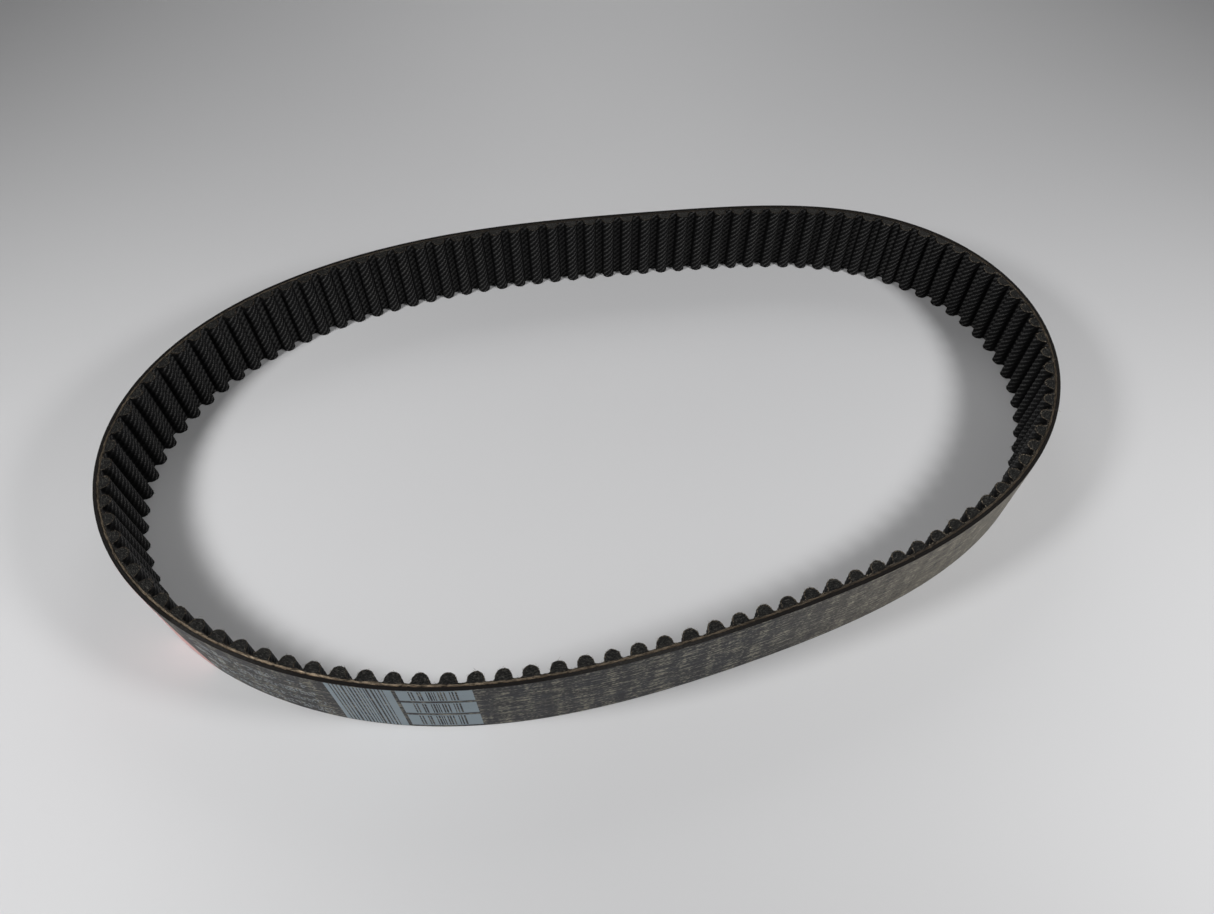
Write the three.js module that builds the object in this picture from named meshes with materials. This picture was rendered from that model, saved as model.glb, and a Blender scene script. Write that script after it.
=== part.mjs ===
// Endless rubber timing belt, 8 mm pitch, 110 round teeth, 30 mm wide.
// It stands on one cut edge in the oval that it springs back to.
// Frame: +X along the oval's long axis, +Z across the belt's width, origin under the middle of the loop
// on the surface that the belt stands on. Millimetres.
//
// The loop is cut into ten sections at the middle of a land (the flat between two teeth), where the
// vertical hinges sit on the cord line. Each section holds four layers: backing, cord, teeth, facing.
// Printed patches of ink lie on the back of the first and the last section.

import * as THREE from 'three';

// ---- driving dimensions ----
const PITCH = 8;
const TEETH = 110;
const WIDTH = 30;
const SECTIONS = 10;
const THICKNESS = 5.6;
const TOOTH_HEIGHT = 3.38;
const TOOTH_RADIUS = 2.57;
const FOOT_FILLET = 0.62;
const CORD_TO_LAND = 0.686;
const CORD_DIAMETER = 0.7;
const FACING_ON_TOOTH = 0.4;
const LAND_RUBBER = 0.08;
const LAYER_GAP = 0.03;
const HINGE_GAP = 0.7;

// ---- sizes that follow ----
const LOOP_LENGTH = PITCH * TEETH;
const TEETH_PER_SECTION = TEETH / SECTIONS;
const BACK = THICKNESS - TOOTH_HEIGHT - CORD_TO_LAND;
const CORD_EDGE = CORD_DIAMETER / 2;

// ---- the free shape of the loop ----
// A circle whose direction is bent by four waves: the number of waves round the loop, how far each
// swings the direction, and its phase, both in degrees. The first makes the oval, the rest its uneven ends.
const LONG_AXIS_TURN = -45;
const BEND_WAVES = [
  { count: 2, swing: 22.9, phase: 90 },
  { count: 3, swing: 3.4, phase: 270 },
  { count: 4, swing: 1.2, phase: 173 },
  { count: 5, swing: 1.6, phase: 270 },
];
const STEPS_PER_PITCH = 20;

const radians = THREE.MathUtils.degToRad;

function direction(s) {
  const turn = s / LOOP_LENGTH;
  let angle = radians(LONG_AXIS_TURN) + 2 * Math.PI * turn;
  for (const wave of BEND_WAVES) {
    angle += radians(wave.swing) * Math.sin(2 * Math.PI * wave.count * turn + radians(wave.phase));
  }
  return angle;
}

// Points of the cord line, one every step. The small closing error is spread evenly round the loop.
function cordLine() {
  const count = TEETH * STEPS_PER_PITCH;
  const step = LOOP_LENGTH / count;
  const points = [new THREE.Vector2(0, 0)];
  for (let i = 0; i < count; i += 1) {
    const angle = direction((i + 0.5) * step);
    const move = new THREE.Vector2(Math.cos(angle), Math.sin(angle)).multiplyScalar(step);
    points.push(points[i].clone().add(move));
  }
  const miss = points[count].clone();
  points.forEach((point, i) => point.addScaledVector(miss, -i / count));
  return points;
}

const CORD_LINE = cordLine();

// The unit vector out of the loop at distance s along the cord line.
function outward(s) {
  const angle = direction(s);
  return new THREE.Vector2(Math.sin(angle), -Math.cos(angle));
}

// A point at distance s along the cord line, moved outward by offset.
function place(s, offset) {
  const count = CORD_LINE.length - 1;
  const along = THREE.MathUtils.euclideanModulo(s / LOOP_LENGTH, 1) * count;
  const i = Math.min(Math.floor(along), count - 1);
  const point = CORD_LINE[i].clone().lerp(CORD_LINE[i + 1], along - i);
  return point.addScaledVector(outward(s), offset);
}

// The middle of the loop's box, which the group is moved by so that the origin lies under it.
function boxCentre() {
  const box = new THREE.Box2();
  for (let i = 0; i < TEETH * STEPS_PER_PITCH; i += 1) {
    box.expandByPoint(place((i * PITCH) / STEPS_PER_PITCH, BACK));
  }
  return box.getCenter(new THREE.Vector2());
}

// ---- tooth profile ----
// One tooth as [distance from its middle, depth below the land], shrunk all round by inset.
// The crest is half a circle, and a short fillet leads to the land on each side.
const CREST_STEPS = 4;

function toothProfile(inset) {
  const radius = TOOTH_RADIUS - inset;
  const centreDepth = TOOTH_HEIGHT - TOOTH_RADIUS;
  const profile = [[-TOOTH_RADIUS - FOOT_FILLET + inset, 0]];
  for (let i = 0; i <= CREST_STEPS; i += 1) {
    const angle = (Math.PI * i) / CREST_STEPS;
    profile.push([-radius * Math.cos(angle), centreDepth + radius * Math.sin(angle)]);
  }
  profile.push([TOOTH_RADIUS + FOOT_FILLET - inset, 0]);
  return profile;
}

// The toothed edge of a section, from its first cut to its last. Between the teeth it lies at the
// distance land inside the cord line, and the teeth keep their places when they are inset.
function toothedEdge(section, land, inset) {
  const edge = [place(section.start, -land)];
  for (let tooth = 0; tooth < TEETH_PER_SECTION; tooth += 1) {
    const middle = section.first + (tooth + 0.5) * PITCH;
    for (const [along, depth] of toothProfile(inset)) {
      const below = depth === 0 ? land : CORD_TO_LAND + depth;
      edge.push(place(middle + along, -below));
    }
  }
  edge.push(place(section.end, -land));
  return edge;
}

// A smooth edge of a section, parallel to the cord line, with a point at every land.
function smoothEdge(section, offset) {
  const edge = [place(section.start, offset)];
  for (let land = 1; land < TEETH_PER_SECTION; land += 1) {
    edge.push(place(section.first + land * PITCH, offset));
  }
  edge.push(place(section.end, offset));
  return edge;
}

// ---- materials ----
const rubberBack = () => new THREE.MeshStandardMaterial({ color: 0x4b4846, roughness: 0.75, metalness: 0 });
const rubberTooth = () => new THREE.MeshStandardMaterial({ color: 0x1d1c1b, roughness: 0.8, metalness: 0 });
const glassCord = () => new THREE.MeshStandardMaterial({ color: 0x96826a, roughness: 0.9, metalness: 0 });
const wovenFacing = () => new THREE.MeshStandardMaterial({ color: 0x232222, roughness: 0.6, metalness: 0 });
const blueInk = () => new THREE.MeshStandardMaterial({ color: 0x737f85, roughness: 0.7, metalness: 0 });
const redInk = () => new THREE.MeshStandardMaterial({ color: 0xdc9b9b, roughness: 0.7, metalness: 0 });

// ---- solids ----
// A layer of one section: the area between its outer and inner edges, drawn up over the belt's width.
function layer(name, outerEdge, innerEdge, material) {
  const outline = new THREE.Shape([...outerEdge, ...innerEdge.reverse()]);
  const geometry = new THREE.ExtrudeGeometry(outline, { depth: WIDTH, bevelEnabled: false });
  const mesh = new THREE.Mesh(geometry, material);
  mesh.name = name;
  return mesh;
}

function sectionLayers(index) {
  const length = PITCH * TEETH_PER_SECTION;
  const first = index * length;
  const section = { first, start: first + HINGE_GAP / 2, end: first + length - HINGE_GAP / 2 };
  const number = String(index + 1).padStart(2, '0');
  const toothTop = CORD_EDGE + LAYER_GAP;
  const toothLand = toothTop + LAND_RUBBER;
  const facingTop = toothLand + LAYER_GAP;
  return [
    layer(
      `backing_${number}`,
      smoothEdge(section, BACK),
      smoothEdge(section, CORD_EDGE + LAYER_GAP),
      rubberBack(),
    ),
    layer(
      `cord_${number}`,
      smoothEdge(section, CORD_EDGE),
      smoothEdge(section, -CORD_EDGE),
      glassCord(),
    ),
    layer(
      `teeth_${number}`,
      smoothEdge(section, -toothTop),
      toothedEdge(section, toothLand, FACING_ON_TOOTH + LAYER_GAP),
      rubberTooth(),
    ),
    layer(
      `facing_${number}`,
      toothedEdge(section, facingTop, FACING_ON_TOOTH),
      toothedEdge(section, CORD_TO_LAND, 0),
      wovenFacing(),
    ),
  ];
}

// ---- prints on the back ----
// Each is a thin film between two distances along the belt and two heights. Its ends may lean: lean is
// how far the low corners lie ahead of the high ones.
const PRINT_LIFT = 0.06;
const PRINT_THICKNESS = 0.08;
const PRINT_STEP = 4;
const STRIP_ENDS = [29.2, 51];
const ROW_ENDS = [-40, 5];
const PRINTS = [
  { name: 'print_block', ends: [8.4, 28], heights: [0.5, 29.5], lean: 0, ink: blueInk },
  { name: 'print_strip_low', ends: STRIP_ENDS, heights: [1.5, 10.2], lean: 0, ink: blueInk },
  { name: 'print_strip_middle', ends: STRIP_ENDS, heights: [12, 20.3], lean: 0, ink: blueInk },
  { name: 'print_strip_high', ends: STRIP_ENDS, heights: [22, 29.5], lean: 0, ink: blueInk },
  { name: 'print_row_1', ends: ROW_ENDS, heights: [2, 6.4], lean: 0, ink: blueInk },
  { name: 'print_row_2', ends: ROW_ENDS, heights: [8.2, 12.6], lean: 0, ink: blueInk },
  { name: 'print_row_3', ends: ROW_ENDS, heights: [14.4, 18.8], lean: 0, ink: blueInk },
  { name: 'print_row_4', ends: ROW_ENDS, heights: [20.6, 25], lean: 0, ink: blueInk },
  { name: 'print_band_red', ends: [-76, -57], heights: [0.3, 29.7], lean: 18, ink: redInk },
];

// A film is two equal grids of points, one on the belt and one outside it, joined round their rim.
// It follows the back in short steps, along the belt and, where its ends lean, up its height too.
function printFilm({ name, ends, heights, lean, ink }) {
  const columns = Math.round((ends[1] - ends[0]) / PRINT_STEP);
  const rows = Math.max(1, Math.round(lean / PRINT_STEP));
  const positions = [];
  for (const rise of [PRINT_LIFT, PRINT_LIFT + PRINT_THICKNESS]) {
    for (let i = 0; i <= columns; i += 1) {
      for (let j = 0; j <= rows; j += 1) {
        const up = j / rows;
        const s = THREE.MathUtils.lerp(ends[0], ends[1], i / columns) + lean * (1 - up);
        const point = place(s, BACK + rise);
        positions.push(point.x, point.y, THREE.MathUtils.lerp(heights[0], heights[1], up));
      }
    }
  }
  const outer = (columns + 1) * (rows + 1);
  const at = (i, j) => i * (rows + 1) + j;
  const faces = [];
  const quad = (a, b, c, d) => faces.push(a, b, c, a, c, d);
  const rim = (a, b) => quad(a, b, b + outer, a + outer);
  for (let i = 0; i < columns; i += 1) {
    for (let j = 0; j < rows; j += 1) {
      const [low, high] = [at(i, j), at(i, j + 1)];
      const [nextLow, nextHigh] = [at(i + 1, j), at(i + 1, j + 1)];
      quad(low, high, nextHigh, nextLow);
      quad(low + outer, nextLow + outer, nextHigh + outer, high + outer);
    }
    rim(at(i, 0), at(i + 1, 0));
    rim(at(i + 1, rows), at(i, rows));
  }
  for (let j = 0; j < rows; j += 1) {
    rim(at(0, j + 1), at(0, j));
    rim(at(columns, j), at(columns, j + 1));
  }
  const geometry = new THREE.BufferGeometry();
  geometry.setAttribute('position', new THREE.Float32BufferAttribute(positions, 3));
  geometry.setIndex(faces);
  const mesh = new THREE.Mesh(geometry, ink());
  mesh.name = name;
  return mesh;
}

// ---- the belt ----
const belt = new THREE.Group();
for (let index = 0; index < SECTIONS; index += 1) {
  belt.add(...sectionLayers(index));
}
for (const print of PRINTS) {
  belt.add(printFilm(print));
}

const centre = boxCentre();
belt.position.set(-centre.x, -centre.y, 0);

export default belt;
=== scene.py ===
"""An endless timing belt standing on one cut edge: its looks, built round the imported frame.

The belt is drawn in two numbers, the distance s along the cord line and the height z across the width,
and placed by the same formula as the CAD part. Lengths are millimetres until a mesh is written.
"""

import math

import bpy
import numpy as np
from mathutils import Euler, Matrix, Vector


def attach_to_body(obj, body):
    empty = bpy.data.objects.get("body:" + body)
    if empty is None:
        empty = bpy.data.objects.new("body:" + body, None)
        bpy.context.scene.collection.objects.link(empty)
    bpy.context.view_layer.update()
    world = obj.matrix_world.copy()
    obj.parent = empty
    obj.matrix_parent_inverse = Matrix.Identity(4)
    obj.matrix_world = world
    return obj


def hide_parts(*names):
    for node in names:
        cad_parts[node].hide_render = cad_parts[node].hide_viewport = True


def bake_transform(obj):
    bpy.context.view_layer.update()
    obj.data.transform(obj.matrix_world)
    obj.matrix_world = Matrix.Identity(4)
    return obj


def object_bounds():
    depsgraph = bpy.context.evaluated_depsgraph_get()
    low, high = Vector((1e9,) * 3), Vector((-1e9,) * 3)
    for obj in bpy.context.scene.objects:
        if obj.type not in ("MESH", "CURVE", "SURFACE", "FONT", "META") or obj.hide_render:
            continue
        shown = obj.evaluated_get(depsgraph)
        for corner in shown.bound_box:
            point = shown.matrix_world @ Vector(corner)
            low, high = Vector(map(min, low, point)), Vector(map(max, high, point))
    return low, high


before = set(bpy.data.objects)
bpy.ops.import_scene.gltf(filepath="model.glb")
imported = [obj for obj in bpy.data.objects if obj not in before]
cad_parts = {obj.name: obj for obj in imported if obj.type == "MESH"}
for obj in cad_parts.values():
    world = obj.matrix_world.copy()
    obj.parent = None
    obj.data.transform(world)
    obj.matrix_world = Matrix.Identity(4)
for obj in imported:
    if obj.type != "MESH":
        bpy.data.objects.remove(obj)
cad_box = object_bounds()

# ---- driving dimensions, as in the CAD part ----
MM = 0.001
PITCH = 8.0
TEETH = 110
SECTIONS = 10
THICKNESS = 5.6
TOOTH_HEIGHT = 3.38
TOOTH_RADIUS = 2.57
FOOT_FILLET = 0.62
CORD_TO_LAND = 0.686
LONG_AXIS_TURN = -45
BEND_WAVES = [(2, 22.9, 90), (3, 3.4, 270), (4, 1.2, 173), (5, 1.6, 270)]

# ---- sizes that follow ----
WIDTH = (cad_box[1].z - cad_box[0].z) / MM
LOOP_LENGTH = PITCH * TEETH
SECTION_LENGTH = LOOP_LENGTH / SECTIONS
BACK = THICKNESS - TOOTH_HEIGHT - CORD_TO_LAND

# ---- layers ----
CORD_EDGE = 0.38  # half the thickness of the cord layer
LAYER_GAP = 0.02
OPEN_GAP = 0.06  # each side of the loop's open joint
FACING_THICKNESS = 0.4
FACING_LAND_THICKNESS = 0.2
CORD_PITCH = 1.2
CORD_RADIUS = 0.34
INK_TOP = BACK + 0.02
INK_FOOT = BACK - 0.08

# ---- mesh steps ----
BACKING_STEP = 0.5
BACKING_ROWS = 70
FACING_STEP = 0.205
FACING_ROWS = 140
TOOTH_STEP = 0.3
TOOTH_CUT_RINGS = 15
CORD_STEP = 2
HAIR_STATIONS = 5

# ---- weave and cut edges ----
YARN = 0.61
CREST_RELIEF = 0.20
LAND_RELIEF = 0.07
LAND_CLOSED = 0.55  # how far the weave is pressed shut on the lands
BURR = 0.15  # unevenness of the cloth beside its cut edges
BURR_REACH = 0.5
CORD_HAIRS_PER_MM = 9
YARN_HAIRS_PER_MM = 5
STRAY_SHARE = 0.012

# ---- prints on the back: from, to along s ----
BLOCK = (8.4, 28.0)
BLOCK_BARS = (9.8, 26.0)
STRIP = (29.2, 51.0)
STRIP_BARS = (32.6, 46.8)
STRIP_HEIGHTS = {"low": (1.5, 10.2), "middle": (12.0, 20.3), "high": (22.0, 29.5)}
ROWS = (-40, 5)
ROW_HEIGHT = 4.4
ROW_FEET = (2.0, 8.2, 14.4, 20.6)
BAND = (-76, -57)
BAND_LEAN = 18
PRINT_STEP = 0.6

# ---- how light the cut cord shows, by distance s: clean at the front left, dark at the far side ----
CORD_TONES = [(0, 1.0), (20, 0.8), (60, 0.55), (120, 0.40), (180, 0.14), (240, 0.26), (330, 0.25),
              (380, 0.03), (560, 0.02), (640, 0.2), (780, 0.35), (830, 0.6), (855, 1.0)]


# ---------------------------------------------------------------- the loop
def direction(s):
    """Direction of the cord line at distance s, in radians."""
    turn = s / LOOP_LENGTH
    angle = math.radians(LONG_AXIS_TURN) + 2 * math.pi * turn
    for count, swing, phase in BEND_WAVES:
        angle = angle + math.radians(swing) * np.sin(2 * math.pi * count * turn + math.radians(phase))
    return angle


def cord_line(steps_per_pitch=20):
    """Points of the cord line as complex numbers. The small closing error is spread evenly."""
    count = TEETH * steps_per_pitch
    step = LOOP_LENGTH / count
    moves = np.exp(1j * direction((np.arange(count) + 0.5) * step)) * step
    points = np.concatenate([[0], np.cumsum(moves)])
    return points - points[-1] * np.arange(count + 1) / count


CORD_LINE = cord_line()
CORD_LINE_S = np.linspace(0, LOOP_LENGTH, len(CORD_LINE))


def plan_point(s, offset):
    """The plan of points at distance s along the cord line, moved outward by offset."""
    s = np.asarray(s, float)
    wrapped = np.mod(s, LOOP_LENGTH)
    x = np.interp(wrapped, CORD_LINE_S, CORD_LINE.real)
    y = np.interp(wrapped, CORD_LINE_S, CORD_LINE.imag)
    return x + 1j * y - 1j * np.exp(1j * direction(s)) * offset


def box_centre():
    """The middle of the loop's plan, which is the origin of the frame."""
    edge = plan_point(CORD_LINE_S, BACK)
    return complex(edge.real.max() + edge.real.min(), edge.imag.max() + edge.imag.min()) / 2


CENTRE = box_centre()


def place(s, offset, z):
    """Points in metres for distance s, outward offset and height z, all arrays of one shape."""
    plan = plan_point(s, offset) - CENTRE
    z = np.broadcast_to(z, plan.shape)
    return np.stack([plan.real, plan.imag, z], axis=-1) * MM


# ---------------------------------------------------------------- spans
def body_of_section(number):
    """Sections 01 and 10 are one body, and the others have a body each."""
    return "span_01_10" if number in (1, SECTIONS) else f"span_{number:02d}"


def make_spans():
    """Stretches of belt, each from the middle of one section to the middle of the next.

    A span crosses the hinge in its middle. Between sections 10 and 01 nothing turns, and between
    05 and 06 the loop is open, so those stretches ride on one body each.
    """
    spans = []
    half = SECTION_LENGTH / 2
    for hinge in range(SECTIONS):
        middle = hinge * SECTION_LENGTH
        before = hinge or SECTIONS
        after = hinge + 1
        bodies = [body_of_section(before), body_of_section(after)]
        if hinge == SECTIONS // 2:
            spans.append((f"{before:02d}_end", middle - half, middle - OPEN_GAP, bodies[:1], before))
            spans.append((f"{after:02d}_start", middle + OPEN_GAP, middle + half, bodies[1:], after))
            continue
        if bodies[0] == bodies[1]:
            bodies = bodies[:1]
        spans.append((f"{before:02d}_{after:02d}", middle - half, middle + half, bodies, after))
    return [dict(zip(("name", "start", "end", "bodies", "section"), span)) for span in spans]


SPANS = make_spans()


def attach(piece, span):
    """A piece of a span rides on its body, or, between two bodies, is baked in place and rides on neither."""
    if len(span["bodies"]) == 1:
        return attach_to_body(piece, span["bodies"][0])
    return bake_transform(piece)


# ---------------------------------------------------------------- meshes
def write_mesh(name, points, face_sets, material, point_data=None, sharp=50):
    """An object from points in metres and sets of faces, each set an array with one face a row."""
    mesh = bpy.data.meshes.new(name)
    face_sets = [np.asarray(faces) for faces in face_sets]
    corners = np.concatenate([faces.ravel() for faces in face_sets]).astype(np.int32)
    sizes = np.concatenate([np.full(len(faces), faces.shape[1]) for faces in face_sets])
    starts = (np.cumsum(sizes) - sizes).astype(np.int32)
    mesh.vertices.add(len(points))
    mesh.vertices.foreach_set("co", np.asarray(points, np.float32).ravel())
    mesh.loops.add(len(corners))
    mesh.loops.foreach_set("vertex_index", corners)
    mesh.polygons.add(len(starts))
    mesh.polygons.foreach_set("loop_start", starts)
    mesh.update(calc_edges=True)
    for key, values in (point_data or {}).items():
        values = np.asarray(values, np.float32)
        if values.ndim == 2:
            mesh.attributes.new(key, "FLOAT_VECTOR", "POINT").data.foreach_set("vector", values.ravel())
        else:
            mesh.attributes.new(key, "FLOAT", "POINT").data.foreach_set("value", values)
    mesh.polygons.foreach_set("use_smooth", np.ones(len(starts), bool))
    mesh.set_sharp_from_angle(angle=math.radians(sharp))
    mesh.materials.append(material)
    piece = bpy.data.objects.new(name, mesh)
    bpy.context.scene.collection.objects.link(piece)
    return piece


def tube_faces(stations, ring):
    """The quads along a tube of equal rings and the two faces that close it."""
    i, j = np.meshgrid(np.arange(stations - 1), np.arange(ring), indexing="ij")
    a = i * ring + j
    b = i * ring + (j + 1) % ring
    walls = np.stack([a, a + ring, b + ring, b], axis=-1).reshape(-1, 4)
    first = np.arange(ring)
    return [walls, np.stack([first, first[::-1] + (stations - 1) * ring])]


def signed_volume(points, face_sets):
    """Volume inside closed faces, negative if they point inward."""
    total = 0.0
    for faces in face_sets:
        p = points[faces]
        for k in range(1, faces.shape[1] - 1):
            total += np.einsum("ij,ij->", p[:, 0], np.cross(p[:, k], p[:, k + 1]))
    return total / 6


def loft(name, s, offset, z, material, point_data):
    """A closed solid through rings of points on the belt. The arrays are stations by ring."""
    points = place(s, offset, z).reshape(-1, 3)
    face_sets = tube_faces(*s.shape)
    if signed_volume(points, face_sets) < 0:
        face_sets = [faces[:, ::-1] for faces in face_sets]
    data = {"belt": np.stack([s, np.broadcast_to(z, s.shape), offset], -1).reshape(-1, 3)}
    data.update({key: values.reshape(len(points), -1).squeeze() for key, values in point_data.items()})
    return write_mesh(name, points, face_sets, material, data)


def smooth_noise(x, y, scale_x, scale_y, seed):
    """Smooth value noise from -1 to 1, the same wherever it is asked for."""
    grid = np.random.default_rng(seed).uniform(-1, 1, (257, 257))
    u, v = np.mod(x / scale_x, 256), np.mod(y / scale_y, 256)
    i, j = u.astype(int), v.astype(int)
    a, b = u - i, v - j
    a, b = a * a * (3 - 2 * a), b * b * (3 - 2 * b)
    top = grid[i, j] * (1 - a) + grid[i + 1, j] * a
    low = grid[i, j + 1] * (1 - a) + grid[i + 1, j + 1] * a
    return top * (1 - b) + low * b


# ---------------------------------------------------------------- backing
def rounded_ends(count, low, high, radius):
    """Heights from low to high, and how far each lies in from a face whose ends are rounded."""
    turns = np.linspace(0, math.pi / 2, 4)
    bottom = low + radius * (1 - np.cos(turns))
    middle = np.linspace(low + radius, high - radius, count)[1:-1]
    z = np.concatenate([bottom, middle, (low + high) - bottom[::-1]])
    rounding = radius * (1 - np.sin(turns))
    inset = np.concatenate([rounding, np.zeros(len(middle)), rounding[::-1]])
    return z, inset


def backing(span, material):
    """The backing rubber: a ground outer face with fine lines along the belt, and rough cut edges."""
    stations = int((span["end"] - span["start"]) / BACKING_STEP) + 1
    s_line = np.linspace(span["start"], span["end"], stations)
    z, inset = rounded_ends(BACKING_ROWS, 0.02, WIDTH - 0.02, 0.15)
    grain = smooth_noise(s_line[:, None], z[None, :], 2.6, 0.42, 11)
    waves = smooth_noise(s_line[:, None], z[None, :], 1.1, 0.8, 12)
    face = BACK - 0.02 - inset[None, :] + 0.014 * grain + 0.006 * waves
    cut = np.linspace(BACK - 0.3, CORD_EDGE + LAYER_GAP, 6)
    cut_rough = 0.045 * smooth_noise(s_line[:, None], cut[None, :], 0.7, 0.3, 13)
    ones = np.ones_like(cut_rough)
    offset = np.concatenate([ones * cut[::-1], face, ones * cut], axis=1)
    z_face = np.broadcast_to(z, face.shape)
    z_all = np.concatenate([0.04 + cut_rough[:, ::-1], z_face, WIDTH - 0.04 + cut_rough], axis=1)
    s = np.broadcast_to(s_line[:, None], offset.shape)
    return loft(f"backing_{span['name']}", s, offset, z_all, material, {})


# ---------------------------------------------------------------- teeth and facing
def tooth_outline(step):
    """One pitch of the toothed face, from land middle to land middle, mirrored about the tooth's middle.

    Returns distance along the belt, depth below the land, the outline's own length, and the unit
    normal (along, down) out of the rubber, through the land, a concave fillet, a short flank and a
    round crest.
    """
    land = PITCH / 2 - TOOTH_RADIUS - FOOT_FILLET
    crest_depth = TOOTH_HEIGHT - TOOTH_RADIUS
    middle = PITCH / 2

    def shares(length, fewest):
        return np.linspace(0, 1, max(fewest, round(length / step)), endpoint=False)

    parts = []
    t = shares(land, 2)
    parts.append((t * land, 0 * t, 0 * t, 0 * t + 1))
    t = shares(FOOT_FILLET * math.pi / 2, 4) * math.pi / 2
    parts.append((land + FOOT_FILLET * np.sin(t), FOOT_FILLET * (1 - np.cos(t)), -np.sin(t), np.cos(t)))
    t = shares(crest_depth - FOOT_FILLET, 2)
    flank = FOOT_FILLET + t * (crest_depth - FOOT_FILLET)
    parts.append((0 * t + land + FOOT_FILLET, flank, 0 * t - 1, 0 * t))
    t = np.linspace(0, math.pi / 2, round(TOOTH_RADIUS * math.pi / 2 / step))
    crest_along = middle - TOOTH_RADIUS * np.cos(t)
    parts.append((crest_along, crest_depth + TOOTH_RADIUS * np.sin(t), -np.cos(t), np.sin(t)))
    along, depth, across, down = (np.concatenate(column) for column in zip(*parts))
    along = np.concatenate([along, PITCH - along[-2::-1]])
    depth = np.concatenate([depth, depth[-2::-1]])
    across = np.concatenate([across, -across[-2::-1]])
    down = np.concatenate([down, down[-2::-1]])
    length = np.concatenate([[0], np.cumsum(np.hypot(np.diff(along), np.diff(depth)))])
    return along, depth, length, across, down


def toothed_run(span, step):
    """The outline repeated over a span, which starts and ends at the middle of a tooth or a land.

    At the open joint the land's last points are drawn back to the span's end.
    """
    along, depth, length, across, down = tooth_outline(step)
    first = math.floor(span["start"] / PITCH)
    last = math.ceil(span["end"] / PITCH)
    teeth = range(first, last)
    s = np.concatenate([along[:-1] + PITCH * k for k in teeth] + [[last * PITCH]])
    travel = np.concatenate([length[:-1] + length[-1] * k for k in teeth] + [[length[-1] * last]])
    depth, across, down = (np.concatenate([a[:-1]] * len(teeth) + [a[-1:]]) for a in (depth, across, down))
    near = 1.01 * OPEN_GAP
    keep = (s >= span["start"] - near) & (s <= span["end"] + near)
    s = np.clip(s[keep], span["start"], span["end"])
    return s, depth[keep], travel[keep], across[keep], down[keep]


def twill(travel, z):
    """Height of a 2/2 twill cloth, 0 in its gaps and 1 on its yarns, at developed length and height.

    The yarns along the belt are the bulky ones. Their floats step one yarn aside at each row, which
    makes the ribs that climb across the belt. Stretched round the teeth, the cloth opens into rows of
    small holes between the ribs.
    """
    u, v = travel / YARN, z / YARN
    i, j = np.floor(u), np.floor(v)
    along = 0.55 * np.cos(math.pi / 2 * (u + j)) - 0.5 * (2 * (v - j) - 1) ** 2 + 0.1
    across = -0.45 * np.cos(math.pi / 2 * (i + v)) - 0.5 * (2 * (u - i) - 1) ** 2 - 0.3
    holes = 0.5 * np.cos(math.pi / 2 * (u - v)) - 0.5 * np.cos(math.pi / 2 * (u + v))
    return np.clip(0.4 + np.maximum(along, across) - 0.8 * np.clip(holes, 0, 1), 0, 1)


def facing_thickness(depth):
    """The cloth is pressed thin on the lands and keeps its thickness on the teeth."""
    share = np.clip(depth / 0.8, 0, 1)
    return FACING_LAND_THICKNESS + (FACING_THICKNESS - FACING_LAND_THICKNESS) * share


def facing(span, material):
    """The woven facing: a cloth bent round the teeth, with its twill in relief and ragged cut edges."""
    s_line, depth, travel, across, down = toothed_run(span, FACING_STEP)
    z, inset = rounded_ends(FACING_ROWS, 0.03, WIDTH - 0.03, 0.12)
    yarn = twill(travel[:, None], z[None, :])
    uneven = smooth_noise(travel[:, None], z[None, :], 2.0, 1.6, 21)
    relief = LAND_RELIEF + (CREST_RELIEF - LAND_RELIEF) * np.clip(depth / 1.5, 0, 1)
    burr = smooth_noise(travel[:, None], z[None, :], 0.75, 0.6, 24)
    near_cut = np.exp(-(WIDTH / 2 - np.abs(z - WIDTH / 2)) / BURR_REACH)[None, :]
    face_rise = relief[:, None] * (yarn - 1) + 0.02 * uneven + BURR * burr * near_cut - inset[None, :]
    pressed = LAND_CLOSED * (1 - np.clip(depth / 0.6, 0, 1))[:, None]
    yarn = yarn * (1 - pressed) + 0.75 * pressed
    thick = facing_thickness(depth)
    edge_shares = np.array([0.3, 0.65, 1.0])
    edge_rise = -thick[:, None] * edge_shares[None, :]
    ragged = 0.08 * smooth_noise(travel[:, None], edge_shares[None, :], 0.35, 0.3, 22)
    edge_yarn = 0.5 + 0.5 * smooth_noise(travel[:, None], edge_shares[None, :], 0.5, 0.4, 23)
    low_edge = edge_rise + BURR * burr[:, :1] * (1 - edge_shares)
    high_edge = edge_rise + BURR * burr[:, -1:] * (1 - edge_shares)
    rise = np.concatenate([low_edge[:, ::-1], face_rise, high_edge], axis=1)
    yarn = np.concatenate([edge_yarn[:, ::-1], yarn, edge_yarn], axis=1)
    z_face = np.broadcast_to(z, face_rise.shape)
    z_all = np.concatenate([0.05 + ragged[:, ::-1], z_face, WIDTH - 0.05 + ragged], axis=1)
    s = s_line[:, None] + across[:, None] * rise
    offset = -(CORD_TO_LAND + depth[:, None] + down[:, None] * rise)
    travel_all = np.broadcast_to(travel[:, None], s.shape)
    cloth = np.stack([travel_all, z_all, np.broadcast_to(depth[:, None], s.shape)], -1)
    return loft(f"facing_{span['name']}", s, offset, z_all, material, {"cloth": cloth, "yarn": yarn})


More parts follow.
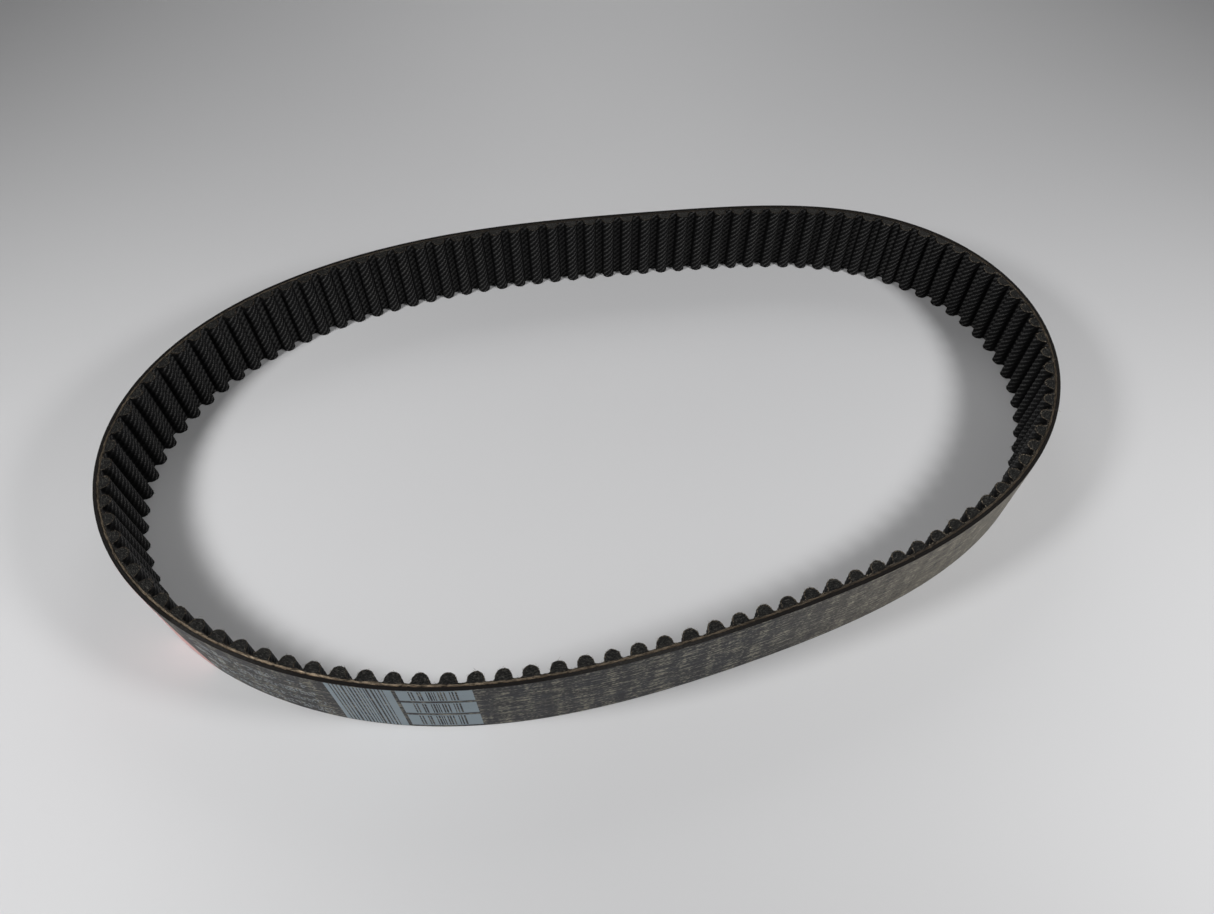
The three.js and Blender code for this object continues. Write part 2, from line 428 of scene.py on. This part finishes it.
def tooth_rubber(span, material):
    """The tooth rubber between cord and facing. Its cut faces are rough where the knife passed."""
    s_line, depth, _, across, down = toothed_run(span, TOOTH_STEP)
    thick = facing_thickness(depth) + LAYER_GAP
    outer_offset = -(CORD_EDGE + LAYER_GAP)
    inner_s = s_line - across * thick
    inner_offset = np.minimum(-(CORD_TO_LAND + depth - down * thick), outer_offset - 0.01)
    share = np.linspace(0, 1, TOOTH_CUT_RINGS)[None, :]
    s_cut = s_line[:, None] * (1 - share) + inner_s[:, None] * share
    offset_cut = outer_offset * (1 - share) + inner_offset[:, None] * share
    knife = smooth_noise(s_cut, offset_cut, 0.5, 0.5, 31)
    scratches = smooth_noise(s_cut, offset_cut, 0.9, 0.22, 32)
    rough = 0.06 * knife + 0.05 * scratches
    s = np.concatenate([s_cut, s_cut[:, ::-1]], axis=1)
    offset = np.concatenate([offset_cut, offset_cut[:, ::-1]], axis=1)
    z = np.concatenate([WIDTH - 0.1 + rough, (0.1 + rough)[:, ::-1]], axis=1)
    return loft(f"teeth_{span['name']}", s, offset, z, material, {})


# ---------------------------------------------------------------- cord and fibres
def cord_tone(s):
    """How light the cut cord shows at distance s, between the places that CORD_TONES lists."""
    at, tones = zip(*CORD_TONES)
    return np.interp(np.mod(s, LOOP_LENGTH), at + (LOOP_LENGTH,), tones + (tones[0],))


def tubes(lines, radius, sides):
    """Points and face sets of closed tubes along lines, an array of lines by stations by 3, in metres."""
    count, stations, _ = lines.shape
    tangent = np.gradient(lines, axis=1)
    tangent /= np.linalg.norm(tangent, axis=2, keepdims=True) + 1e-12
    up = np.where(np.abs(tangent[..., 2:]) > 0.9, np.array([1.0, 0, 0]), np.array([0, 0, 1.0]))
    side = np.cross(tangent, up)
    side /= np.linalg.norm(side, axis=2, keepdims=True) + 1e-12
    over = np.cross(side, tangent)
    angle = np.arange(sides) * 2 * math.pi / sides
    radius = np.broadcast_to(np.asarray(radius, float), (count, stations))[..., None, None]
    ring = side[:, :, None] * np.cos(angle)[:, None] + over[:, :, None] * np.sin(angle)[:, None]
    points = (lines[:, :, None] + ring * radius).reshape(-1, 3)
    steps = (np.arange(count) * stations * sides)[:, None, None]
    face_sets = [(faces[None] + steps).reshape(-1, faces.shape[1]) for faces in tube_faces(stations, sides)]
    if signed_volume(points[:stations * sides], tube_faces(stations, sides)) < 0:
        face_sets = [faces[:, ::-1] for faces in face_sets]
    return points, face_sets


def belt_tubes(name, s, offset, z, radius, sides, material):
    """One piece of closed tubes, whose centrelines are arrays of lines by stations on the belt."""
    points, face_sets = tubes(place(s, offset, z), radius * MM, sides)
    belt = np.repeat(np.stack([s, z, offset], -1).reshape(-1, 3), sides, axis=0)
    data = {"belt": belt, "tone": cord_tone(belt[:, 0])}
    return write_mesh(name, points, face_sets, material, data, sharp=80)


def cord(span, material):
    """The turns of the one helical cord that pass through this span, side by side across the width."""
    stations = int((span["end"] - span["start"]) / CORD_STEP) + 1
    s_line = np.linspace(span["start"], span["end"], stations)
    turns = np.arange(-1, int(WIDTH / CORD_PITCH) + 1)
    z = CORD_PITCH * (turns[:, None] + 0.5 + s_line[None, :] / LOOP_LENGTH)
    lowest, highest = CORD_RADIUS, WIDTH - CORD_RADIUS
    z = z[(z.min(axis=1) > lowest - CORD_PITCH / 2) & (z.max(axis=1) < highest + CORD_PITCH / 2)]
    z = np.clip(z, lowest, highest)
    s = np.broadcast_to(s_line, z.shape)
    return belt_tubes(f"cord_{span['name']}", s, 0 * z, z, np.float64(CORD_RADIUS), 8, material)


def bent_hairs(start, lengths, headings, bends, lifts):
    """Centrelines (s, offset, z) of hairs that bow sideways and rise as they go."""
    t = np.linspace(0, 1, HAIR_STATIONS)[None, :]
    s = start[0][:, None] + lengths[:, None] * t * np.cos(headings)[:, None]
    offset = start[1][:, None] + lengths[:, None] * (t * np.sin(headings)[:, None] + bends[:, None] * t * t)
    z = start[2][:, None] + lifts[:, None] * np.sin(t * 2.4)
    return s, offset, z


def cord_fray(span, material):
    """The cut side of the cord on both edges: a mat of glass filaments along the cord line."""
    random = np.random.default_rng(5000 + round(span["start"]))
    count = int((span["end"] - span["start"]) * CORD_HAIRS_PER_MM)
    up = np.repeat([1.0, -1.0], count)
    count = len(up)
    s = random.uniform(span["start"], span["end"], count)
    lengths = random.uniform(0.8, 3.2, count) * random.choice([-1, 1], count)
    lengths = np.clip(s + lengths, span["start"], span["end"]) - s
    offset = np.clip(random.normal(-0.06, 0.13, count), -0.34, 0.22)
    z = np.where(up > 0, WIDTH, 0) - up * random.uniform(0.0, 0.1, count)
    lifts = up * np.abs(random.normal(0, 0.05, count))
    headings = random.normal(0, 0.04, count)
    bends = random.normal(0, 0.03, count)
    hairs = bent_hairs((s, offset, z), lengths, headings, bends, lifts)
    radius = random.uniform(0.03, 0.06, count)[:, None] * np.linspace(1, 0.6, HAIR_STATIONS)
    return belt_tubes(f"cord_fray_{span['name']}", *hairs, radius, 3, material)


def facing_fray(span, material):
    """Loose ends of yarn round the cut outline of the facing, and a few stray hairs at the teeth."""
    random = np.random.default_rng(7000 + round(span["start"]))
    s_line, depth, _, across, down = toothed_run(span, 0.1)
    count = int((span["end"] - span["start"]) * YARN_HAIRS_PER_MM)
    pick = random.integers(2, len(s_line) - 2, count)
    up = random.choice([1.0, 1.0, -1.0], count)
    inward = random.uniform(-0.05, 0.38, count)
    s = s_line[pick] - across[pick] * inward
    offset = -(CORD_TO_LAND + depth[pick] - down[pick] * inward)
    headings = np.arctan2(-(depth[pick + 1] - depth[pick - 1]), s_line[pick + 1] - s_line[pick - 1])
    headings = headings + random.normal(0, 0.5, count) + math.pi * random.integers(0, 2, count)
    lengths = random.uniform(0.3, 1.1, count)
    strays = random.uniform(0, 1, count) < STRAY_SHARE
    lengths = np.where(strays, random.uniform(1.4, 2.8, count), lengths)
    z = np.where(up > 0, WIDTH, 0) - up * random.uniform(0.0, 0.08, count)
    high = random.uniform(0.3, 1.4, count)
    low = np.abs(random.normal(0, 0.08, count))
    lifts = up * np.where(strays & (up > 0), high, low)
    lifts = np.where(up < 0, np.maximum(lifts, -0.02), lifts)
    bends = random.normal(0, 0.25, count)
    hairs = bent_hairs((s, offset, z), lengths, headings, bends, lifts)
    radius = random.uniform(0.022, 0.045, count)[:, None] * np.linspace(1, 0.5, HAIR_STATIONS)
    return belt_tubes(f"facing_fray_{span['name']}", *hairs, radius, 3, material)


# ---------------------------------------------------------------- ink on the back
def ink_film(name, s_lines, z_lines, inked, material, lean=0.0):
    """A closed thin film over the inked cells of a grid on the belt's back. A lean carries its low
    corners that many millimetres further along than its high ones."""
    s, z = np.meshgrid(s_lines, z_lines, indexing="ij")
    s = s + lean * (1 - z / WIDTH)
    index = np.arange(s.size).reshape(s.shape)
    under = index + s.size
    a, b, c, d = index[:-1, :-1], index[1:, :-1], index[1:, 1:], index[:-1, 1:]
    e, f, g, h = under[:-1, :-1], under[1:, :-1], under[1:, 1:], under[:-1, 1:]
    padded = np.pad(inked, 1)
    faces = [np.stack([x[inked] for x in quad], -1) for quad in ((a, b, c, d), (h, g, f, e))]
    sides = [
        (padded[:-2, 1:-1], (a, d, h, e)),
        (padded[2:, 1:-1], (b, f, g, c)),
        (padded[1:-1, :-2], (a, e, f, b)),
        (padded[1:-1, 2:], (d, c, g, h)),
    ]
    for neighbour, quad in sides:
        open_side = inked & ~neighbour
        faces.append(np.stack([x[open_side] for x in quad], -1))
    points = np.concatenate([place(s, INK_TOP, z).reshape(-1, 3), place(s, INK_FOOT, z).reshape(-1, 3)])
    used, corners = np.unique(np.concatenate(faces), return_inverse=True)
    belt = np.tile(np.stack([s, z, 0 * s + BACK], -1).reshape(-1, 3), (2, 1))
    return write_mesh(name, points[used], [corners.reshape(-1, 4)], material, {"belt": belt[used]}, sharp=40)


def even_lines(low, high, step):
    """Places from low to high, about a step apart."""
    return np.linspace(low, high, max(2, round((high - low) / step) + 1))


def bar_lines(start, end, ink_widths, gap_widths, random):
    """Edges and ink flags of alternate printed bars and gaps, of random widths, between two places."""
    edges = [start]
    flags = []
    inked = False
    while True:
        step = random.uniform(*(ink_widths if inked else gap_widths))
        if edges[-1] + step > end:
            break
        edges.append(edges[-1] + step)
        flags.append(inked)
        inked = not inked
    edges.append(end)
    flags.append(True)
    return edges, flags


def print_block(material):
    """A block of fine lines across the width, between two solid bands."""
    random = np.random.default_rng(61)
    edges, flags = bar_lines(*BLOCK_BARS, (0.3, 0.7), (0.34, 0.72), random)
    edges = [BLOCK[0]] + edges + [BLOCK[1]]
    flags = [True] + flags + [True]
    z = even_lines(0.5, WIDTH - 0.5, PRINT_STEP)
    inked = np.repeat(np.array(flags)[:, None], len(z) - 1, axis=1)
    return ink_film("print_block_film", np.array(edges), z, inked, material)


def print_strip(name, low, high, material):
    """A strip of ink with groups of bars left open in it, the same in every strip."""
    random = np.random.default_rng(71)
    edges = [STRIP[0], STRIP_BARS[0]]
    flags = [True]
    while edges[-1] < STRIP_BARS[1]:
        group_end = edges[-1] + random.uniform(1.6, 2.8)
        group, group_flags = bar_lines(edges[-1], group_end, (0.2, 0.45), (0.3, 0.62), random)
        edges += group[1:]
        flags += group_flags
        edges.append(edges[-1] + random.uniform(0.3, 0.9))
        flags.append(True)
    edges.append(STRIP[1])
    flags.append(True)
    z = np.concatenate([[low], even_lines(low + 0.35, high - 0.35, PRINT_STEP), [high]])
    inked = np.repeat(np.array(flags)[:, None], len(z) - 1, axis=1)
    inked[:, 0] = True
    inked[:, -1] = True
    return ink_film(name, np.array(edges), z, inked, material)


def print_row(name, low, high, seed, material):
    """A row of small marks: lines of random dashes and the ticks between them, which spell nothing."""
    random = np.random.default_rng(seed)
    s = even_lines(*ROWS, PRINT_STEP / 2)
    z = np.linspace(low, high, 10)
    inked = np.zeros((len(s) - 1, len(z) - 1), bool)
    for line in (1, 4, 7):
        i = 0
        while i < len(s) - 2:
            run = int(random.integers(1, 5))
            if random.uniform() < 0.7:
                inked[i:i + run, line] = True
                if line < 7 and random.uniform() < 0.45:
                    inked[i, line:line + 3] = True
            i += run + int(random.integers(1, 3))
    words = smooth_noise(s[:-1], 0 * s[:-1] + seed, 3.0, 1.0, 66) > -0.6
    return ink_film(name, s, z, inked & words[:, None], material)


def print_band(material):
    """A worn red band with leaning sides."""
    s = even_lines(*BAND, 0.5)
    z = even_lines(0.3, WIDTH - 0.3, 0.5)
    inked = np.ones((len(s) - 1, len(z) - 1), bool)
    return ink_film("print_band_film", s, z, inked, material, lean=BAND_LEAN)


# ---------------------------------------------------------------- materials
class Nodes:
    """A short way to write a material's nodes."""

    def __init__(self, name, roughness=0.7, specular=0.5):
        self.material = bpy.data.materials.new(name)
        self.material.use_nodes = True
        self.tree = self.material.node_tree
        self.shader = self.tree.nodes["Principled BSDF"]
        self.shader.inputs["Roughness"].default_value = roughness
        self.shader.inputs["Specular IOR Level"].default_value = specular

    def add(self, kind, inputs=None, **settings):
        node = self.tree.nodes.new(kind)
        for key, value in settings.items():
            setattr(node, key, value)
        for key, value in (inputs or {}).items():
            self.feed(node.inputs[key], value)
        return node

    def feed(self, socket, value):
        if isinstance(value, bpy.types.NodeSocket):
            self.tree.links.new(value, socket)
        else:
            socket.default_value = value

    def attribute(self, name, output="Vector"):
        return self.add("ShaderNodeAttribute", attribute_name=name).outputs[output]

    def scaled(self, vector, scale, move=(0, 0, 0)):
        return self.add("ShaderNodeMapping", {"Vector": vector, "Scale": scale, "Location": move}).outputs[0]

    def noise(self, vector, scale, move=(0, 0, 0), detail=2.0, roughness=0.5, distortion=0.0):
        """Noise with its own scale per mm along each belt coordinate."""
        node = self.add("ShaderNodeTexNoise", {
            "Vector": self.scaled(vector, scale, move), "Scale": 1.0, "Detail": detail,
            "Roughness": roughness, "Distortion": distortion})
        return node.outputs["Fac"]

    def math(self, operation, a, b=0.0):
        node = self.add("ShaderNodeMath", operation=operation)
        self.feed(node.inputs[0], a)
        self.feed(node.inputs[1], b)
        return node.outputs[0]

    def range(self, value, low, high, to_low=0.0, to_high=1.0):
        node = self.add("ShaderNodeMapRange", {
            "Value": value, "From Min": low, "From Max": high, "To Min": to_low, "To Max": to_high})
        return node.outputs[0]

    def mix(self, share, a, b):
        node = self.add("ShaderNodeMix", data_type="RGBA")
        self.feed(node.inputs["Factor"], share)
        for name, value in (("A", a), ("B", b)):
            socket = next(x for x in node.inputs if x.name == name and x.type == "RGBA")
            self.feed(socket, value)
        return next(x for x in node.outputs if x.type == "RGBA")

    def colour(self, value):
        self.feed(self.shader.inputs["Base Color"], value)

    def bump(self, height, strength, distance):
        node = self.add("ShaderNodeBump", {"Height": height, "Strength": strength, "Distance": distance})
        self.feed(self.shader.inputs["Normal"], node.outputs[0])

    def near(self, s, reach, fade):
        """1 within reach of distance s along the belt, 0 beyond a fade outside it."""
        along = self.split(self.attribute("belt"))[0]
        away = self.math("ABSOLUTE", self.math("SUBTRACT", along, s))
        return self.range(away, reach + fade, reach)

    def split(self, vector):
        return self.add("ShaderNodeSeparateXYZ", {"Vector": vector}).outputs


def rgb(red, green, blue):
    return (red, green, blue, 1)


def ground_streaks(nodes):
    """Grain of the ground back, 0 to 1: lines along the belt, broken into dashes that thicken and thin
    from tooth to tooth."""
    belt = nodes.attribute("belt")
    lines = nodes.noise(belt, (0.09, 1.25, 0), (2, 5, 0), detail=2.0, roughness=0.6)
    breaks = nodes.noise(belt, (0.42, 0.14, 0), (4, 2, 0), detail=1.0)
    fine = nodes.noise(belt, (0.9, 2.2, 0), (7, 3, 0), detail=1.0)
    wander = nodes.noise(belt, (0.10, 0.2, 0), (3, 9, 0), detail=1.0)
    phase = nodes.math("MULTIPLY", nodes.split(belt)[0], 2 * math.pi / PITCH)
    wave = nodes.math("SINE", nodes.math("ADD", phase, nodes.math("MULTIPLY", wander, 5.0)))
    streaks = nodes.math("MULTIPLY", wave, -0.02)
    for noise, share in ((lines, 0.47), (breaks, 0.15), (fine, 0.38)):
        streaks = nodes.math("ADD", streaks, nodes.math("MULTIPLY", noise, share))
    return streaks, wander


def backing_material():
    """Ground rubber, dark grey with tan dashes, and tan all over at the right end. Its cut edges are
    brown-black and rough."""
    nodes = Nodes("ground_rubber_backing", 0.6, 0.3)
    streaks, wander = ground_streaks(nodes)
    base = nodes.mix(nodes.range(wander, 0.38, 0.62), rgb(0.039, 0.038, 0.039), rgb(0.042, 0.044, 0.050))
    base = nodes.mix(nodes.near(245, 45, 65), base, rgb(0.150, 0.132, 0.102))
    pale = nodes.mix(nodes.range(streaks, 0.51, 0.55), base, rgb(0.150, 0.144, 0.124))
    tan = nodes.mix(nodes.range(streaks, 0.55, 0.60), pale, rgb(0.36, 0.335, 0.265))
    deep = nodes.mix(nodes.range(streaks, 0.41, 0.465), rgb(0.016, 0.015, 0.017), tan)
    belt = nodes.attribute("belt")
    grime = nodes.noise(belt, (1.2, 1, 5), (1, 1, 1), detail=4.0, roughness=0.7)
    beside_prints = nodes.math("SUBTRACT", nodes.near(36, 75, 30), nodes.near(36, 35, 25))
    dusty = nodes.mix(beside_prints, rgb(0.014, 0.011, 0.009), rgb(0.050, 0.046, 0.042))
    cut = nodes.mix(nodes.range(grime, 0.38, 0.72), rgb(0.003, 0.0026, 0.0024), dusty)
    z = nodes.split(belt)[1]
    from_middle = nodes.math("ABSOLUTE", nodes.math("SUBTRACT", z, WIDTH / 2))
    at_edge = nodes.range(from_middle, WIDTH / 2 - 0.22, WIDTH / 2 - 0.10)
    nodes.colour(nodes.mix(at_edge, deep, cut))
    ground = nodes.range(streaks, 0.35, 0.65, 0.5, 0.72)
    nodes.feed(nodes.shader.inputs["Roughness"], nodes.math("MAXIMUM", ground, at_edge))
    nodes.bump(streaks, 0.5, 0.0001)
    return nodes.material


def facing_material():
    """Black nylon twill: yarns catch the light, gaps stay dark. Painted light and shade: the crests and lands
    are drawn lighter and the flanks of the teeth near black. Thread ends show in the cut edge, and
    show lighter at the right end."""
    nodes = Nodes("woven_nylon_facing", 0.65, 0.16)
    cloth = nodes.attribute("cloth")
    yarn = nodes.attribute("yarn", "Fac")
    threads = nodes.noise(cloth, (3.0, 9.0, 0), detail=2.0, roughness=0.6)
    worn = nodes.noise(cloth, (0.25, 0.12, 0), (5, 5, 0), detail=2.0)
    lit = nodes.mix(nodes.range(threads, 0.35, 0.65), rgb(0.055, 0.055, 0.058), rgb(0.140, 0.139, 0.135))
    rubbed = nodes.mix(nodes.range(worn, 0.42, 0.68, 0, 0.45), lit, rgb(0.175, 0.172, 0.162))
    depth = nodes.split(cloth)[2]
    # Painted light and shade: crests and lands drawn lighter, the flanks of the teeth near black, as light
    # falls on them.
    on_crest = nodes.range(depth, 2.0, 2.85, 0.06, 0.80)
    on_land = nodes.range(depth, 0.25, 0.04, 0.05, 0.9)
    crest_land_painted_light = nodes.math("MAXIMUM", on_crest, on_land)
    yarn_and_painted_flank_shade = nodes.math("MULTIPLY", nodes.range(yarn, 0.48, 0.95), crest_land_painted_light)
    body = nodes.mix(yarn_and_painted_flank_shade, rgb(0.0010, 0.0010, 0.0012), rubbed)
    z = nodes.split(cloth)[1]
    from_middle = nodes.math("ABSOLUTE", nodes.math("SUBTRACT", z, WIDTH / 2))
    at_edge = nodes.range(from_middle, WIDTH / 2 - 0.16, WIDTH / 2 - 0.06)
    specks = nodes.noise(cloth, (1.6, 1, 0), (2, 2, 0), detail=4.0, roughness=0.7)
    thread_end = nodes.mix(nodes.near(250, 120, 60), rgb(0.12, 0.10, 0.075), rgb(0.38, 0.32, 0.24))
    frayed = nodes.mix(nodes.range(specks, 0.49, 0.63), rgb(0.006, 0.005, 0.004), thread_end)
    nodes.colour(nodes.mix(at_edge, body, frayed))
    nodes.bump(threads, 0.5, 0.00008)
    return nodes.material


def tooth_material():
    """Tooth rubber at its cut faces: black, with grey specks of fibre, and lighter at the far wall, where a
    sheen is painted.
    """
    nodes = Nodes("cut_tooth_rubber", 0.9, 0.08)
    belt = nodes.attribute("belt")
    speck = nodes.noise(belt, (2.4, 1, 2.4), detail=4.0, roughness=0.75)
    fibre = nodes.noise(belt, (1.0, 1, 5.5), (4, 4, 4), detail=3.0, roughness=0.6, distortion=0.8)
    # Painted sheen: the cut faces at the far wall are drawn lighter, as they look when seen at a grazing
    # angle.
    far = nodes.near(470, 80, 60)
    far_wall_painted_sheen = nodes.mix(far, rgb(0.024, 0.024, 0.023), rgb(0.064, 0.062, 0.059))
    colour = nodes.mix(nodes.range(speck, 0.38, 0.70), rgb(0.004, 0.004, 0.004), far_wall_painted_sheen)
    colour = nodes.mix(nodes.range(fibre, 0.55, 0.64, 0, 0.7), colour, rgb(0.12, 0.114, 0.102))
    nodes.colour(colour)
    nodes.bump(speck, 0.7, 0.0002)
    return nodes.material


def cord_material(name, dark, light):
    """Glass cord with its brown dip. It shows lighter where the knife left it clean."""
    nodes = Nodes(name, 0.8, 0.2)
    belt = nodes.attribute("belt")
    strands = nodes.noise(belt, (0.5, 6, 6), detail=3.0, roughness=0.6)
    patches = nodes.noise(belt, (0.10, 0.1, 0.3), (8, 0, 0), detail=3.0)
    bare = nodes.range(patches, 0.3, 0.6, 0.35, 1.0)
    clean = nodes.math("MULTIPLY", nodes.range(strands, 0.38, 0.64), bare)
    clean = nodes.math("MULTIPLY", clean, nodes.attribute("tone", "Fac"))
    nodes.colour(nodes.mix(clean, dark, light))
    nodes.bump(strands, 0.5, 0.0001)
    return nodes.material


def fibre_material():
    """Loose yarn ends at the cut: from black through brown to a few that are tan."""
    nodes = Nodes("loose_yarn_ends", 0.7, 0.3)
    belt = nodes.attribute("belt")
    kind = nodes.noise(belt, (0.9, 0.9, 0.9), (6, 6, 6), detail=2.0, roughness=0.7)
    kind = nodes.math("ADD", kind, nodes.math("MULTIPLY", nodes.near(250, 120, 60), 0.08))
    brown = nodes.mix(nodes.range(kind, 0.42, 0.58), rgb(0.014, 0.013, 0.012), rgb(0.10, 0.075, 0.05))
    nodes.colour(nodes.mix(nodes.range(kind, 0.58, 0.70), brown, rgb(0.36, 0.32, 0.26)))
    nodes.bump(kind, 0.3, 0.00005)
    return nodes.material


def ink_material(name, fresh, worn, wear):
    """Printed ink. The grain of the rubber shows through where it is worn."""
    nodes = Nodes(name, 0.55, 0.35)
    streaks, wander = ground_streaks(nodes)
    cover = nodes.range(streaks, wear - 0.10, wear + 0.06)
    tint = nodes.mix(nodes.range(wander, 0.3, 0.7, 0, 0.35), fresh, tuple(0.8 * c for c in fresh[:3]) + (1,))
    nodes.colour(nodes.mix(cover, worn, tint))
    nodes.bump(streaks, 0.4, 0.00006)
    return nodes.material


def floor_material():
    """A plain pale sheet, very slightly clouded."""
    nodes = Nodes("pale_floor", 0.5, 0.25)
    spot = nodes.add("ShaderNodeTexCoord").outputs["Object"]
    clouds = nodes.noise(spot, (3, 3, 3), detail=3.0)
    nodes.colour(nodes.mix(nodes.range(clouds, 0.3, 0.7), rgb(0.705, 0.705, 0.715), rgb(0.735, 0.735, 0.742)))
    return nodes.material


# ---------------------------------------------------------------- camera, light, floor
def add_camera():
    """The camera stands close above the near side of the loop and looks down across it."""
    data = bpy.data.cameras.new("camera")
    data.sensor_width = 36
    data.lens = 25.16
    data.clip_start = 0.01
    camera = bpy.data.objects.new("camera", data)
    camera.location = (-0.0438, -0.1921, 0.2616)
    camera.rotation_euler = Euler((math.radians(36.14), 0, math.radians(-13.28)))
    bpy.context.scene.collection.objects.link(camera)
    bpy.context.scene.camera = camera


def add_area_light(name, place_at, aim, size, power, spread=180):
    """A round soft lamp, aimed at a point, that the camera doesn't see."""
    data = bpy.data.lights.new(name, "AREA")
    data.shape = "DISK"
    data.size = size
    data.energy = power
    data.spread = math.radians(spread)
    light = bpy.data.objects.new(name, data)
    light.location = place_at
    light.rotation_mode = "QUATERNION"
    light.rotation_quaternion = (Vector(aim) - Vector(place_at)).to_track_quat("-Z", "Y")
    light.visible_camera = False
    bpy.context.scene.collection.objects.link(light)


def add_lights():
    """Two soft lamps close above the ends of the loop, as in a small photo tent, a weak one in front and
    one behind, which lights the far floor and the back of the far wall."""
    add_area_light("softbox_left", (-0.352, -0.085, 0.365), (0, 0, 0), 0.12, 1.29)
    add_area_light("softbox_right", (0.345, -0.225, 0.345), (0, 0, 0), 0.12, 1.30)
    add_area_light("softbox_front", (-0.08, -0.55, 0.50), (0, 0, 0), 0.35, 0.22)
    add_area_light("softbox_back", (0.12, 0.62, 0.45), (0.10, 0.32, 0), 0.40, 0.60, spread=140)
    world = bpy.data.worlds.new("studio")
    world.use_nodes = True
    world.node_tree.nodes["Background"].inputs["Color"].default_value = (0.95, 0.97, 1.0, 1)
    world.node_tree.nodes["Background"].inputs["Strength"].default_value = 0.02
    bpy.context.scene.world = world
    bpy.context.scene.view_settings.view_transform = "Standard"


def add_floor():
    """A wide floor just under the belt's lower cut edge."""
    reach = 4.0
    points = [(-reach, -reach, 0), (reach, -reach, 0), (reach, reach, 0), (-reach, reach, 0)]
    floor = write_mesh("floor", np.array(points), [[[0, 1, 2, 3]]], floor_material())
    floor.location.z = -0.0001


# ---------------------------------------------------------------- the belt
def build_layers():
    """Every layer of every span. A layer stands for the CAD node of the section after its hinge."""
    cord_dark = rgb(0.018, 0.014, 0.011)
    cord_light = rgb(0.34, 0.24, 0.15)
    layers = [
        ("backing", backing, backing_material(), "backing"),
        ("cord", cord, cord_material("glass_cord", cord_dark, cord_light), "cord"),
        ("teeth", tooth_rubber, tooth_material(), "tooth"),
        ("facing", facing, facing_material(), "facing"),
    ]
    loose = [
        (cord_fray, cord_material("frayed_glass_cord", cord_dark, rgb(0.78, 0.62, 0.44)), "cord"),
        (facing_fray, fibre_material(), "facing"),
    ]
    for span in SPANS:
        for layer, make, material, slot in layers:
            piece = make(span, material)
            attach(piece, span)
            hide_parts(f"{layer}_{span['section']:02d}")
        for make, material, slot in loose:
            piece = make(span, material)
            attach(piece, span)


def build_prints():
    """The films of ink. Each rides with the span that it lies on, or is baked in place where that span lies
    between two bodies.
    """
    blue = rgb(0.36, 0.44, 0.49)
    red = rgb(0.88, 0.52, 0.50)
    under = rgb(0.075, 0.078, 0.088)
    fresh_ink = ink_material("blue_ink", blue, under, 0.33)
    worn_ink = ink_material("worn_blue_ink", rgb(0.36, 0.40, 0.41), under, 0.44)
    red_ink = ink_material("faded_red_ink", red, rgb(0.30, 0.16, 0.15), 0.36)
    spans = {span["name"]: span for span in SPANS}
    prints = [("print_block", print_block(fresh_ink), "10_01", "blue_ink")]
    for name, heights in STRIP_HEIGHTS.items():
        film = print_strip(f"print_strip_{name}_film", *heights, fresh_ink)
        prints.append((f"print_strip_{name}", film, "01_02", "blue_ink"))
    for number, low in enumerate(ROW_FEET, start=1):
        film = print_row(f"print_row_{number}_film", low, low + ROW_HEIGHT, 80 + number, worn_ink)
        prints.append((f"print_row_{number}", film, "10_01", "blue_ink"))
    prints.append(("print_band_red", print_band(red_ink), "09_10", "red_ink"))
    for node, film, span_name, slot in prints:
        attach(film, spans[span_name])
        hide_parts(node)


add_camera()
add_lights()
add_floor()
build_layers()
build_prints()
